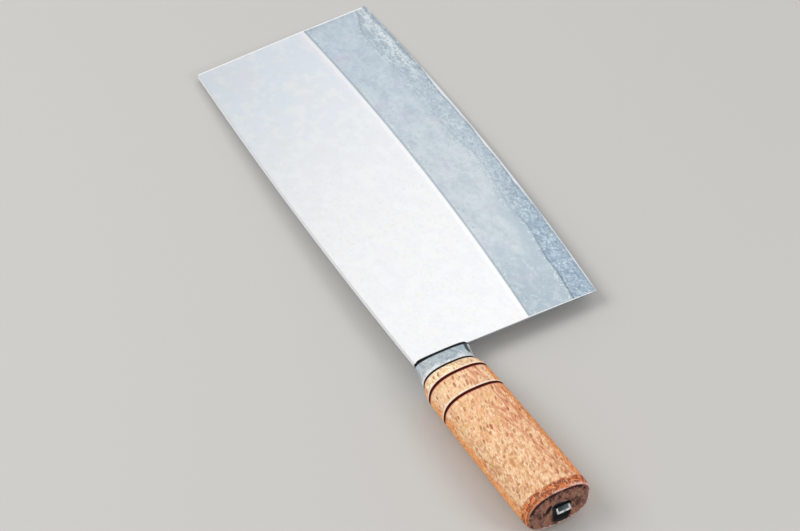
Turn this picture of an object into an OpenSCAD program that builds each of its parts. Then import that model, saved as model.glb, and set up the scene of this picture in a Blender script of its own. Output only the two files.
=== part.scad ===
// Chinese cleaver: a laminated blade on a tang that runs through a turned wooden handle.
// X runs along the handle from the butt to the tip, Y points to the spine, Z out of the blade's right side.
// The origin is on the handle's axis, in the plane of the butt.

/* [Blade] */
// Length of the blade along the spine, from the heel side to the tip side
blade_l = 221; // [190:1:240]
// Height of the spine above the handle's axis, at the neck
spine_rise = 11.7; // [11.5:0.1:13]
// Depth of the edge's lowest point below the handle's axis
edge_drop = 98.7; // [80:0.1:110]
// Distance from the heel side to the edge's lowest point
belly_x = 164; // [120:1:180]
// Radius of the cutting edge's curve
edge_r = 1500; // [1200:10:2500]
// Radius of the spine's curve
spine_r = 2800; // [2400:10:5000]
// Lean of the heel side, in degrees
heel_lean = 1; // [0:0.1:3]
// Lean of the tip side, in degrees
tip_lean = 2.3; // [0:0.1:4]
// Thickness of the blade at the spine
blade_t = 2.2; // [2:0.1:2.6]
// Height of the bevel on each side
bevel_w = 38; // [25:0.5:45]
// Height of the hard steel that shows on the bevel
core_w = 11.5; // [6:0.5:16]
// Height of the sharpened facet along the edge
facet_w = 1.2; // [0.8:0.1:2]
// Thickness of the blade where the facet starts
facet_t = 0.3; // [0.2:0.05:0.5]
// Thickness left at the very edge
edge_t = 0.1; // [0.06:0.01:0.15]

/* [Neck and tang] */
// Length of the neck inside the ferrule
neck_l = 7; // [6.5:0.5:8]
// Thickness of the neck, ground down a little to enter the ferrule
neck_t = 2; // [1.4:0.1:2]
// Height of the neck's end, where the tang is welded on
neck_end_h = 18; // [14:0.5:20]
// Height of the tang
tang_h = 7.6; // [6:0.1:9]
// Thickness of the tang
tang_t = 5.2; // [4:0.1:5.6]
// Distance of the tang below the handle's axis, towards the edge
tang_low = 2.8; // [1:0.1:3.5]
// Sideways drift of the tang from the blade's middle plane to the butt
tang_drift = 3; // [0:0.1:4]
// Length of the tang's forked head in front of the tenon
head_l = 4.4; // [3.5:0.1:5]

/* [Ferrule] */
// Length of the ferrule
ferrule_l = 12.3; // [11:0.1:16]
// Thickness of its sheet
ferrule_wall = 1; // [0.6:0.1:1.1]
// Height of the ferrule at the wood
ferrule_h = 28.6; // [27:0.1:30]
// Width of the ferrule at the wood
ferrule_t = 17.2; // [15:0.1:19]
// Height of the mouth that the blade leaves by
mouth_h = 29.8; // [29:0.1:31]
// Width of that mouth
mouth_t = 5.7; // [5.2:0.1:7]
// Distance of the mouth's middle below the handle's axis
mouth_low = 3; // [2.6:0.1:3.4]

/* [Handle] */
// Length of the wood, from the butt to the ferrule
wood_l = 93; // [80:1:110]
// Height of the grip near the butt
grip_h = 34.7; // [32:0.1:37]
// Width of the grip near the butt
grip_t = 24.8; // [24:0.1:27]
// Height of the grip at the front groove
front_h = 32.6; // [31:0.1:34]
// Width of the grip at the front groove
front_t = 22.6; // [21:0.1:24]
// Length of the rounding at the butt
round_l = 5.4; // [3:0.1:8]
// Depth of that rounding
round_d = 1.25; // [0.8:0.05:2.5]
// Length of the rounded shoulder between the front groove and the ferrule
shoulder_l = 7.8; // [5:0.1:10]
// Distance between the two grooves
groove_gap = 13.6; // [8:0.1:20]
// Width of a groove
groove_w = 1.2; // [0.8:0.1:1.8]
// Depth of a groove
groove_d = 0.5; // [0.3:0.05:0.8]
// Length of the tenon inside the ferrule
tenon_l = 5; // [3.5:0.1:5.5]

/* [Fillings] */
// Height of the pocket round the tang's end
pocket_h = 10.6; // [10:0.1:12]
// Width of that pocket
pocket_t = 11.6; // [10.5:0.1:12]
// Distance of the pocket below the handle's axis, towards the edge
pocket_low = 1.8; // [1.5:0.1:2.5]
// Sideways distance of the pocket from the handle's axis
pocket_side = 2.4; // [2:0.1:3]
// Depth of the pocket
pocket_l = 6; // [3:0.5:12]
// Height of the pitch over the neck where it meets the blade
bead_t = 0.5; // [0.2:0.05:0.8]

/* [Fits] */
// Gap round the tang in the wood
tang_gap = 0.3; // [0.1:0.05:0.6]
// Gap between the ferrule and what it holds
glue_gap = 0.05; // [0.03:0.01:0.1]
// Gap between the ferrule and the wood's shoulder
joint_gap = 0.4; // [0.2:0.05:0.6]
// Gap between the heel side and the ferrule's mouth
heel_gap = 0.3; // [0.1:0.05:0.6]

/* [Hidden] */
sides = 64;
big_fn = 1440;
oval_p = 2.5;
pocket_p = 4;
clear = 50;
ferrule_x = wood_l + joint_gap;
mouth_x = ferrule_x + ferrule_l;
neck_x = mouth_x + heel_gap;
neck_end_x = neck_x - neck_l;
tenon_x = wood_l + tenon_l;
head_x = tenon_x + glue_gap;
groove_1_x = wood_l - shoulder_l;
groove_2_x = groove_1_x - groove_gap;
neck_half = (mouth_h / 2 - ferrule_wall) * oval_reach(neck_t / (mouth_t - 2 * ferrule_wall)) - glue_gap;
neck_top = neck_half - mouth_low;
neck_bottom = -neck_half - mouth_low;
core_t = 2 * bevel_z(core_w);

// Half the blade's thickness on the bevel, at a distance from the edge
function bevel_z(d) = facet_t / 2 + (blade_t - facet_t) / 2 * (d - facet_w) / (bevel_w - facet_w);

// Share of an oval's half height at which it is still a given share of its full width
function oval_reach(width) = pow(1 - pow(width, oval_p), 1 / oval_p);

// Points round an oval that is a little squarer than an ellipse
function oval(h, t, p = oval_p) =
    [for (i = [0:sides - 1])
        let (a = 360 * i / sides, c = cos(a), s = sin(a))
            [h / 2 * sign(c) * pow(abs(c), 2 / p), t / 2 * sign(s) * pow(abs(s), 2 / p)]];

// An oval section across the handle's axis
function section(x, y, h, t) = [for (q = oval(h, t)) [x, y + q[0], q[1]]];

// Outside of the ferrule, and of what fits a wall deep inside it
function ferrule_section(x, inset) =
    let (k = (x - ferrule_x) / ferrule_l, s = max(0, min(1, k)))
        section(x, -mouth_low * s, ferrule_h + (mouth_h - ferrule_h) * s - 2 * inset,
                mouth_t + (ferrule_t - mouth_t) * (1 - pow(s, 1.3)) - 2 * inset);

// Swell of the grip, from the rounding at the butt to the front groove
function grip_section(x, inset = 0) =
    let (s = pow((x - round_l) / (groove_1_x - round_l), 2))
        section(x, 0, grip_h + (front_h - grip_h) * s - 2 * inset, grip_t + (front_t - grip_t) * s - 2 * inset);

function butt_section(x) =
    let (d = round_d * (1 - sqrt(1 - pow(1 - x / round_l, 2))))
        section(x, 0, grip_h - 2 * d, grip_t - 2 * d);

function shoulder_section(x) =
    let (s = 1 - pow((x - groove_1_x) / shoulder_l, 2))
        section(x, 0, ferrule_h + (front_h - ferrule_h) * s, ferrule_t + (front_t - ferrule_t) * s);

function groove(x) =
    [grip_section(x - groove_w / 2), grip_section(x - groove_w / 5, groove_d),
     grip_section(x + groove_w / 5, groove_d), grip_section(x + groove_w / 2)];

// Evenly spaced values from a to b
function span(a, b, steps) = [for (i = [0:steps]) a + (b - a) * i / steps];

// A closed skin over a row of sections, or over a ring of them
module skin(rings, ring = false) {
    rows = len(rings);
    last = ring ? rows - 1 : rows - 2;
    sheet = [for (j = [0:last], i = [0:sides - 1])
        let (a = j * sides, b = (j + 1) % rows * sides, n = (i + 1) % sides)
            each [[a + i, b + i, b + n], [a + i, b + n, a + n]]];
    ends = ring ? [] : [[for (i = [0:sides - 1]) i], [for (i = [sides - 1:-1:0]) (rows - 1) * sides + i]];
    polyhedron(points = [for (r = rings) each r], faces = concat(sheet, ends));
}

// Side view of the blade with its neck, left open past the spine and the edge
module blade_outline() {
    far_y = -edge_drop - clear;
    polygon([[neck_x, neck_top], [neck_x, clear],
             [neck_x + blade_l - tan(tip_lean) * (clear - spine_rise), clear],
             [neck_x + blade_l + tan(tip_lean) * (spine_rise - far_y), far_y],
             [neck_x - tan(heel_lean) * (neck_bottom - far_y), far_y],
             [neck_x, neck_bottom],
             [neck_end_x, -tang_low - neck_end_h / 2], [neck_end_x, -tang_low + neck_end_h / 2]]);
}

// Wedge that the ground blade fills, turned about the middle of the edge's curve
module grind() {
    translate([neck_x + belly_x, edge_r - edge_drop, 0])
        rotate_extrude($fn = big_fn)
            polygon([[edge_r / 2, -blade_t / 2], [edge_r - bevel_w, -blade_t / 2],
                     [edge_r - facet_w, -facet_t / 2], [edge_r, -edge_t / 2],
                     [edge_r, edge_t / 2], [edge_r - facet_w, facet_t / 2],
                     [edge_r - bevel_w, blade_t / 2], [edge_r / 2, blade_t / 2]]);
}

// One layer of the blade, between two heights
module blade_layer(low, high) {
    difference() {
        intersection() {
            translate([0, 0, low])
                linear_extrude(high - low)
                    blade_outline();
            translate([neck_x, spine_rise - spine_r, low])
                cylinder(r = spine_r, h = high - low, $fn = big_fn);
            grind();
        }
        for (side = [0, 1])
            mirror([0, 0, side])
                translate([neck_x - clear, neck_bottom, neck_t / 2])
                    cube([clear, clear, blade_t]);
    }
}

// Tang bar with its forked head, grown by a gap on its long sides
module tang_bar(gap = 0, past = 0) {
    half = tang_t / 2 + gap;
    slope = tang_drift / head_x;
    translate([0, tang_h / 2 + gap - tang_low, 0])
        rotate([90, 0, 0])
            linear_extrude(tang_h + 2 * gap)
                polygon([[-past, -tang_drift - slope * past - half], [head_x, -half],
                         [head_x, half], [-past, -tang_drift - slope * past + half]]);
}

module tang_head() {
    difference() {
        translate([head_x, -tang_low - neck_end_h / 2, -tang_t / 2])
            cube([head_l, neck_end_h, tang_t]);
        translate([neck_end_x, -clear, -neck_t / 2])
            cube([clear, 2 * clear, neck_t]);
    }
}

module pocket(length) {
    translate([-length, -pocket_low, -pocket_side])
        rotate([90, 0, 90])
            linear_extrude(pocket_l + length)
                polygon(oval(pocket_h, pocket_t, pocket_p));
}

module core_steel() {
    color("#b9c2cc")
        blade_layer(-core_t / 2, core_t / 2);
}

module right_cladding() {
    color("#e6e9ec")
        blade_layer(core_t / 2, blade_t / 2);
}

module left_cladding() {
    color("#e6e9ec")
        blade_layer(-blade_t / 2, -core_t / 2);
}

module tang() {
    color("#9aa0a6") {
        tang_bar();
        tang_head();
    }
}

module ferrule() {
    xs = span(ferrule_x, mouth_x, 10);
    color("#bcc6d2")
        skin(concat([for (x = xs) ferrule_section(x, 0)],
                    [for (i = [10:-1:0]) ferrule_section(xs[i], ferrule_wall)]), ring = true);
}

// Pitch that fills the ferrule in front of the tenon and meets the blade at the mouth
module ferrule_filler() {
    inset = ferrule_wall + glue_gap;
    color("#1c1a18")
        difference() {
            skin(concat([for (x = span(head_x, mouth_x, 6)) ferrule_section(x, inset)],
                        [section(neck_x, -mouth_low, mouth_h - 2 * inset, neck_t + 2 * bead_t)]));
            translate([0, 0, -neck_t / 2])
                linear_extrude(neck_t)
                    blade_outline();
            translate([head_x - clear, -tang_low - neck_end_h / 2, -tang_t / 2])
                cube([clear + head_l, neck_end_h, tang_t]);
        }
}

module handle() {
    tenon = [for (x = concat([wood_l], span(ferrule_x, tenon_x, 4)))
        ferrule_section(x, ferrule_wall + glue_gap)];
    color("#e8bd8c")
        difference() {
            skin(concat([for (k = [0, 0.04, 0.12, 0.25, 0.45, 0.7]) butt_section(k * round_l)],
                        [for (x = span(round_l, groove_2_x - groove_w, 6)) grip_section(x)],
                        groove(groove_2_x), groove(groove_1_x),
                        [for (k = [0.15, 0.35, 0.55, 0.75, 0.9, 1])
                            shoulder_section(groove_1_x + k * shoulder_l)],
                        tenon));
            tang_bar(tang_gap, clear);
            pocket(clear);
        }
}

// Pitch that sets the tang's end in the butt
module butt_filler() {
    color("#161412")
        difference() {
            pocket(0);
            tang_bar(0, clear);
        }
}

core_steel();
right_cladding();
left_cladding();
tang();
ferrule();
ferrule_filler();
handle();
butt_filler();
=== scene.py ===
import bmesh
import bpy
import math
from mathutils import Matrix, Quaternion, Vector


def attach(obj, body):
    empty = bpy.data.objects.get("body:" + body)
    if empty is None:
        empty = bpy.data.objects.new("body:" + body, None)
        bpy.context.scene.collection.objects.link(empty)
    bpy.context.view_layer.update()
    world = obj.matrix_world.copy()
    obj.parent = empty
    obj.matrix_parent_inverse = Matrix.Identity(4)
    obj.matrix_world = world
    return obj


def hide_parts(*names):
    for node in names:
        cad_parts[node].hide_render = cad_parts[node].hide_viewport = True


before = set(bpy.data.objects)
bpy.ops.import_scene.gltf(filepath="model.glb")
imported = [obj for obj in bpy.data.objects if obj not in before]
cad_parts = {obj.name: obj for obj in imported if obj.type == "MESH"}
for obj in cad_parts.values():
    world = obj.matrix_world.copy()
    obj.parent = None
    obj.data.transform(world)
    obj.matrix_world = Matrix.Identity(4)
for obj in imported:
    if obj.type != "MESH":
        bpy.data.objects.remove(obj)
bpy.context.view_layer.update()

# The cleaver lies along X, from the butt of the handle at 0 to the tip side of the blade. Y points to the
# spine and Z out of the right side of the blade, which the camera sees. Lengths are in metres, and a
# hair is a distance too small to see.
mm = 0.001
hair = 1e-6

# Outline of the blade: two arcs, and two straight sides that lean a little
edge_centre = (270 * mm, 1401.3 * mm)
edge_radius = 1500 * mm
spine_centre = (106 * mm, -2788.3 * mm)
spine_radius = 2800 * mm
spine_cuts = 16
blade_length = 221 * mm
spine_rise = 11.7 * mm
tip_lean = math.radians(2.3)
heel_lean = math.radians(1)
tip_corner = 0.5 * mm
flat_corner = 0.28 * mm

# The blank that the outline is cut from: how far it reaches from the edge, and round the edge's middle
blank_height = 130 * mm
blank_start = math.radians(7.5)
blank_sweep = math.radians(10.75)
blank_steps = 86

# Section of the blade
half_blade = 1.1 * mm
bevel_height = 38 * mm
core_height = 11.5 * mm
facet_height = 1.2 * mm
half_facet = 0.15 * mm
half_edge = 0.05 * mm
core_share = (core_height - facet_height) / (bevel_height - facet_height)
half_core = half_facet + (half_blade - half_facet) * core_share

# Neck of the blade, which enters the ferrule
neck_x = 106 * mm
neck_top = 9.57 * mm
neck_bottom = -15.57 * mm
neck_step = 0.15 * mm
neck_end_x = 99 * mm
neck_end_height = 18 * mm
half_neck = 1 * mm

# Heights and widths of the wood and the ferrule across the handle
butt_size = (34.7 * mm, 24.8 * mm)
front_size = (32.6 * mm, 22.6 * mm)
collar_size = (28.6 * mm, 17.2 * mm)
mouth_size = (29.8 * mm, 5.7 * mm)

# Handle and ferrule
round_length = 5.4 * mm
round_depth = 1.25 * mm
rear_groove = 71.6 * mm
front_groove = 85.2 * mm
wood_end = 93 * mm
tenon_end = 98 * mm
ferrule_x = 93.4 * mm
ferrule_length = 12.3 * mm
ferrule_wall = 1 * mm
mouth_low = 3 * mm

# Tang: it drifts to the left side on its way to the butt
tang_half = (3.8 * mm, 2.6 * mm)
tang_low = 2.8 * mm
tang_drift = 3 * mm
tang_skew = 0.8 * mm
tang_end_x = 98.05 * mm
head_length = 4.4 * mm
head_rise = 5.2 * mm
tang_gap = 0.3 * mm

# Pocket in the butt, and the split beside it, in Y and Z
pocket_depth = 6 * mm
pocket_corner = 1.9 * mm
split_place = (5.85 * mm, 1.25 * mm)


# Working by hand


def take(piece):
    """Makes one piece the only one selected."""
    bpy.ops.object.select_all(action="DESELECT")
    piece.select_set(True)
    bpy.context.view_layer.objects.active = piece


def open_up(piece):
    take(piece)
    bpy.ops.object.mode_set(mode="EDIT")


def put_down():
    bpy.ops.object.mode_set(mode="OBJECT")


def lay(piece, name):
    """Names a new primitive and leaves its object at the origin, with its place in its mesh."""
    piece.name = name
    piece.data.name = name
    take(piece)
    bpy.ops.object.transform_apply(location=True, rotation=True, scale=True)
    return piece


def pick(kind, test):
    """Selects the vertices, edges or faces that pass a test, in the piece that is open."""
    mesh = bpy.context.edit_object.data
    bpy.ops.mesh.select_mode(type=kind)
    bpy.ops.mesh.select_all(action="DESELECT")
    form = bmesh.from_edit_mesh(mesh)
    for part in {"VERT": form.verts, "EDGE": form.edges, "FACE": form.faces}[kind]:
        if test(part):
            part.select_set(True)
    form.select_flush_mode()
    bmesh.update_edit_mesh(mesh)


def middle(part):
    """Middle of an edge or a face."""
    return sum((corner.co for corner in part.verts), Vector()) / len(part.verts)


def faces_back(face):
    return face.normal.x < -0.9


def push(x=0.0, y=0.0, z=0.0):
    bpy.ops.transform.translate(value=(x, y, z))


def size_about(centre, x=1.0, y=1.0, z=1.0):
    bpy.ops.transform.resize(value=(x, y, z), center_override=centre)


def extrude(x=0.0, y=0.0):
    bpy.ops.mesh.extrude_region_move(TRANSFORM_OT_translate={"value": (x, y, 0)})


def round_off(offset, segments):
    bpy.ops.mesh.bevel(offset=offset, segments=segments, profile=0.5)


def close_skin():
    """Joins seams and turns every face outwards."""
    bpy.ops.mesh.select_mode(type="FACE")
    bpy.ops.mesh.select_all(action="SELECT")
    bpy.ops.mesh.remove_doubles(threshold=2 * hair)
    bpy.ops.mesh.normals_make_consistent(inside=False)


def cut(piece, cutter):
    """Cuts one piece out of another, and puts the cutter away."""
    take(piece)
    knife = piece.modifiers.new("cut", "BOOLEAN")
    knife.operation = "DIFFERENCE"
    knife.solver = "EXACT"
    knife.object = cutter
    bpy.ops.object.modifier_apply(modifier=knife.name)
    bpy.data.objects.remove(cutter, do_unlink=True)


def smooth(piece, degrees):
    take(piece)
    bpy.ops.object.shade_smooth_by_angle(angle=math.radians(degrees))


def block(name, low, high):
    """A block between two corners."""
    centre = [(a + b) / 2 for a, b in zip(low, high)]
    size = [b - a for a, b in zip(low, high)]
    bpy.ops.mesh.primitive_cube_add(size=1, location=centre, scale=size)
    return lay(bpy.context.object, name)


# Blade


def blade_layer(name, low, high, bevel):
    """One layer of the blade: its section, spun round the middle of the edge's curve. low and high are its
    faces, and bevel is the section at smaller depths from the edge: depth, low and high."""
    mid_x, mid_y = edge_centre
    edge_y = mid_y - edge_radius
    top = edge_y + blank_height
    here, at_low, at_high = edge_y + bevel_height, low, high
    bpy.ops.mesh.primitive_plane_add(size=1, location=(mid_x, (top + here) / 2, (low + high) / 2),
                                     rotation=(0, math.pi / 2, 0))
    layer = lay(bpy.context.object, name)
    open_up(layer)
    bpy.ops.mesh.select_all(action="SELECT")
    size_about((mid_x, (top + here) / 2, (low + high) / 2), y=top - here, z=high - low)
    for depth, low_end, high_end in bevel:
        there = edge_y + depth
        pick("EDGE", lambda edge: all(abs(v.co.y - here) < hair for v in edge.verts))
        extrude(y=there - here)
        size_about((mid_x, there, (at_low + at_high) / 2), z=(high_end - low_end) / (at_high - at_low))
        push(z=(low_end + high_end - at_low - at_high) / 2)
        here, at_low, at_high = there, low_end, high_end
    bpy.ops.mesh.select_mode(type="FACE")
    bpy.ops.mesh.select_all(action="SELECT")
    bpy.ops.transform.rotate(value=blank_start, orient_axis="Z", center_override=(mid_x, mid_y, 0))
    bpy.ops.mesh.spin(steps=blank_steps, angle=-blank_sweep, center=(mid_x, mid_y, 0), axis=(0, 0, 1))
    close_skin()
    put_down()
    return layer


def saw(point, normal):
    """Cuts the open piece through a point, and takes away what the normal points to."""
    bpy.ops.mesh.select_all(action="SELECT")
    bpy.ops.mesh.bisect(plane_co=point, plane_no=normal, use_fill=True, clear_outer=True, threshold=hair / 10)


def narrow_neck():
    """Draws the neck's rear end in, to its height and to the tang's line."""
    middle_y = (neck_top + neck_bottom) / 2
    size_about((neck_end_x, middle_y, 0), y=neck_end_height / (neck_top - neck_bottom))
    push(y=-tang_low - middle_y)


def trim_blade(layer, outer):
    """Cuts the tip side, the heel side and the curved spine, and draws out the neck."""
    open_up(layer)
    saw((neck_x + blade_length, spine_rise, 0), (math.cos(tip_lean), math.sin(tip_lean), 0))
    saw((neck_x, neck_bottom, 0), (-math.cos(heel_lean), math.sin(heel_lean), 0))
    past_tip = blade_length * 1.01
    for i in range(spine_cuts):
        first, last = [math.asin(past_tip * k / spine_cuts / spine_radius) for k in (i, i + 1)]
        turn = (first + last) / 2
        saw((spine_centre[0] + spine_radius * math.sin(first),
             spine_centre[1] + spine_radius * math.cos(first), 0), (math.sin(turn), math.cos(turn), 0))
    close_skin()

    def at_tip_corner(edge):
        if abs(edge.verts[0].co.z - edge.verts[1].co.z) < 0.1 * mm:
            return False
        if any(v.co.x < neck_x + 200 * mm or v.co.y < 0 for v in edge.verts):
            return False
        return (any(face.normal.x > 0.9 for face in edge.link_faces)
                and any(face.normal.y > 0.9 for face in edge.link_faces))

    pick("EDGE", at_tip_corner)
    round_off(tip_corner, 4)

    # Neck: the part of the heel side that enters the ferrule, drawn back to its end
    def on_neck(face):
        return faces_back(face) and neck_bottom < middle(face).y < neck_top

    for y in (neck_top, neck_bottom):
        pick("FACE", faces_back)
        bpy.ops.mesh.bisect(plane_co=(0, y, 0), plane_no=(0, 1, 0), threshold=hair / 10)
    step_x = neck_x - neck_step
    pick("FACE", on_neck)
    extrude(x=-2 * neck_step)
    size_about((step_x, 0, 0), x=0)
    if outer:
        pick("VERT", lambda v: v.co.x < step_x + hair and v.co.y > neck_bottom - hair
             and abs(v.co.z - outer) < hair)
        push(z=-math.copysign(half_blade - half_neck, outer))
    pick("FACE", on_neck)
    extrude(x=neck_end_x - step_x)
    narrow_neck()
    put_down()


def soften_corners(layer, outer):
    """Rounds the corners of the flat at the spine, the tip and the heel, as a hand stone leaves them."""
    open_up(layer)

    def corner(edge):
        if len(edge.link_faces) != 2 or any(abs(v.co.z - outer) > hair for v in edge.verts):
            return False
        flat, side = sorted((abs(face.normal.z) for face in edge.link_faces), reverse=True)
        return flat > 0.99 and side < 0.1 and middle(edge).x > neck_x

    pick("EDGE", corner)
    bpy.ops.mesh.bevel(offset=flat_corner, segments=3, profile=0.5, clamp_overlap=True)
    put_down()


# Ovals across the handle, each with its X, its Y, its height and its width


def oval_ring(name, x, y, height, width):
    """A ring across the handle: a circle whose slants are drawn out a little squarer than an ellipse."""
    sides = 96
    squarer = 0.2
    bpy.ops.mesh.primitive_circle_add(vertices=sides, radius=0.5, fill_type="NOTHING", location=(x, y, 0),
                                      rotation=(math.pi / 2, 0, math.pi / 2))
    ring = lay(bpy.context.object, name)
    open_up(ring)
    for k in range(1, sides // 4):
        turn = 2 * math.pi * k / sides
        side, up = math.cos(turn), math.sin(turn)
        pick("VERT", lambda v: abs(abs(v.co.y - y) - side / 2) < 0.1 * mm
             and abs(abs(v.co.z) - up / 2) < 0.1 * mm)
        size_about((x, y, 0), y=side ** -squarer, z=up ** -squarer)
    bpy.ops.mesh.select_all(action="SELECT")
    size_about((x, y, 0), y=height, z=width)
    return ring


def draw_out(here, sections):
    """Extrudes the selected ring from section to section."""
    for there in sections:
        extrude(x=there[0] - here[0], y=there[1] - here[1])
        size_about((there[0], there[1], 0), y=there[2] / here[2], z=there[3] / here[3])
        here = there


def section(x, y, start, end, shares, inset=0.0):
    """An oval part of the way from one size to another, drawn in all round by an inset."""
    height, width = [a + (b - a) * share - 2 * inset for a, b, share in zip(start, end, shares)]
    return (x, y, height, width)


def grip(x, inset=0.0):
    narrower = ((x - round_length) / (front_groove - round_length)) ** 2
    return section(x, 0, butt_size, front_size, (narrower, narrower), inset)


def butt(x):
    fall = round_depth * (1 - math.sqrt(1 - (1 - x / round_length) ** 2))
    height, width = butt_size
    return (x, 0, height - 2 * fall, width - 2 * fall)


def shoulder(x, inset=0.0):
    narrower = ((x - front_groove) / (wood_end - front_groove)) ** 2
    return section(x, 0, front_size, collar_size, (narrower, narrower), inset)


def ferrule_skin(x, inset=0.0):
    along = max(0, min(1, (x - ferrule_x) / ferrule_length))
    return section(x, -mouth_low * along, collar_size, mouth_size, (along, along ** 1.3), inset)


def groove(x):
    """A turned groove with soft lips and a round bottom."""
    lip = [(0.95, 0), (0.75, 0.03), (0.58, 0.14), (0.42, 0.34), (0.2, 0.48)]
    outline = [(-across, down) for across, down in lip] + [(0, 0.52)] + lip[::-1]
    return [grip(x + across * mm, down * mm) for across, down in outline]


def spread(first, last, steps):
    return [first + (last - first) * k / steps for k in range(steps + 1)]


# Pieces


def pocket_block(name, back, front, grow):
    """The shape of the rough pocket in the butt: four corners that were cut by eye, in mm, rounded."""
    piece = block(name, (back, -1, -1), (front, 1, 1))
    open_up(piece)
    corners = {(1, 1): (3.5, 3.4), (-1, 1): (-6.8, 1.6), (-1, -1): (-7.1, -8.1), (1, -1): (2.6, -8.2)}
    for (side, up), (y, z) in corners.items():
        pick("VERT", lambda v: v.co.y * side > 0.5 and v.co.z * up > 0.5)
        push(y=y * mm + side * grow - side, z=z * mm + up * grow - up)
    pick("EDGE", lambda edge: abs(edge.verts[0].co.x - edge.verts[1].co.x) > 0.1 * mm)
    round_off(pocket_corner, 5)
    put_down()
    return piece


def tang_block(name, back, front, rise=0.0, grow=0.0):
    """A block on the tang's line. Rise makes it as high as the tang's head is."""
    half_height = tang_half[0] + rise + grow
    half_width = tang_half[1] + grow
    return block(name, (back, -tang_low - half_height, -half_width),
                 (front, -tang_low + half_height, half_width))


def tang_bar(name, back, grow=0.0):
    """The tang's bar, with its drift to the left side, skewed where it was cut off in the pocket."""
    piece = tang_block(name, pocket_depth, tang_end_x, grow=grow)
    open_up(piece)
    drift = tang_drift / tang_end_x
    pick("VERT", lambda v: v.co.x < tang_end_x / 2)
    push(z=-drift * (tang_end_x - pocket_depth))
    pick("FACE", faces_back)
    extrude(x=back - pocket_depth)
    push(z=-drift * (pocket_depth - back))
    for up in (1, -1):
        pick("VERT", lambda v: v.co.x < pocket_depth / 2 and (v.co.z + tang_drift) * up > 0)
        push(y=up * tang_skew)
    put_down()
    return piece


def make_handle():
    """One piece of turned wood: rounded butt, grip, two grooves, shoulder and tenon, cut for the tang."""
    start = butt(0)
    handle = oval_ring("handle_wood", *start)
    bpy.ops.mesh.edge_face_add()
    rounding = (0.015, 0.04, 0.08, 0.14, 0.22, 0.32, 0.44, 0.58, 0.74, 0.88, 1)
    sections = [butt(share * round_length) for share in rounding]
    sections += [grip(x) for x in spread(round_length, rear_groove - 1.5 * mm, 14)[1:]]
    sections += groove(rear_groove)
    sections += [grip(x) for x in spread(rear_groove + 2 * mm, front_groove - 2 * mm, 3)]
    sections += groove(front_groove)[:-1]
    sections += [shoulder(x) for x in spread(front_groove + 1.1 * mm, wood_end - 0.35 * mm, 8)]
    sections += [shoulder(wood_end - 0.14 * mm, 0.06 * mm), shoulder(wood_end, 0.24 * mm)]
    tenon = [wood_end] + spread(ferrule_x, tenon_end, 4)
    sections += [ferrule_skin(x, ferrule_wall + 0.05 * mm) for x in tenon]
    draw_out(start, sections)
    bpy.ops.mesh.edge_face_add()
    close_skin()
    put_down()
    cut(handle, tang_bar("tang hole", -1 * mm, tang_gap))
    cut(handle, tang_block("tang hole", 90 * mm, 99 * mm, grow=tang_gap))
    cut(handle, pocket_block("pocket", -2 * mm, pocket_depth, 0.0))
    open_up(handle)
    pick("EDGE", lambda edge: all(v.co.x < hair and abs(v.co.y) < 12 * mm for v in edge.verts)
         and any(face.normal.x > -0.5 for face in edge.link_faces))
    round_off(0.22 * mm, 2)
    put_down()
    smooth(handle, 38)
    return handle


def close_tube():
    """Joins the two open ends of a drawn tube, so that it becomes a wall all round."""
    pick("EDGE", lambda edge: len(edge.link_faces) == 1)
    bpy.ops.mesh.bridge_edge_loops()
    close_skin()
    put_down()


def make_ferrule():
    """A drawn collar with a rolled rear rim and a dressed mouth. Each point is X and an inset, in mm."""
    outside = [(93.4, 0.34), (93.43, 0.18), (93.55, 0.06), (93.75, 0.0)]
    outside += [(x, 0.0) for x in spread(94.3, 104.9, 12)]
    outside += [(105.3, 0.04), (105.55, 0.16), (105.67, 0.34), (105.7, 0.55), (105.66, 0.85), (105.5, 1.0)]
    inside = [(x, 1.0) for x in spread(105.0, 93.9, 10)] + [(93.5, 0.95), (93.4, 0.8)]
    sections = [ferrule_skin(x * mm, inset * mm) for x, inset in outside + inside]
    ferrule = oval_ring("ferrule_collar", *sections[0])
    draw_out(sections[0], sections[1:])
    close_tube()
    smooth(ferrule, 50)
    return ferrule


def make_ferrule_pitch():
    """Pitch that fills the collar and stands out of its mouth as a narrow black bead on the blade.
    Each ring of the bead is X, height and width, in mm."""
    filled = spread(tang_end_x + 0.05 * mm, 105.3 * mm, 7)
    sections = [ferrule_skin(x, ferrule_wall + 0.03 * mm) for x in filled]
    bead = [(105.78, 28.6, 4.5), (106.0, 29.2, 5.1), (106.4, 29.2, 5.0), (106.9, 28.8, 4.4),
            (107.35, 28.3, 3.5), (107.65, 27.8, 2.7), (107.8, 27.4, 2.24)]
    sections += [(x * mm, -mouth_low, height * mm, width * mm) for x, height, width in bead]
    pitch = oval_ring("ferrule_pitch", *sections[0])
    bpy.ops.mesh.edge_face_add()
    draw_out(sections[0], sections[1:])
    bpy.ops.mesh.edge_face_add()
    close_skin()
    put_down()
    neck = block("neck", (neck_end_x, neck_bottom, -half_neck), (neck_x, neck_top, half_neck))
    open_up(neck)
    pick("FACE", faces_back)
    narrow_neck()
    put_down()
    cut(pitch, neck)
    cut(pitch, block("blade", (neck_x - hair, -60 * mm, -half_blade), (115 * mm, 60 * mm, half_blade)))
    cut(pitch, tang_block("tang head", 90 * mm, tang_end_x + head_length, rise=head_rise))
    smooth(pitch, 50)
    return pitch


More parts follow.
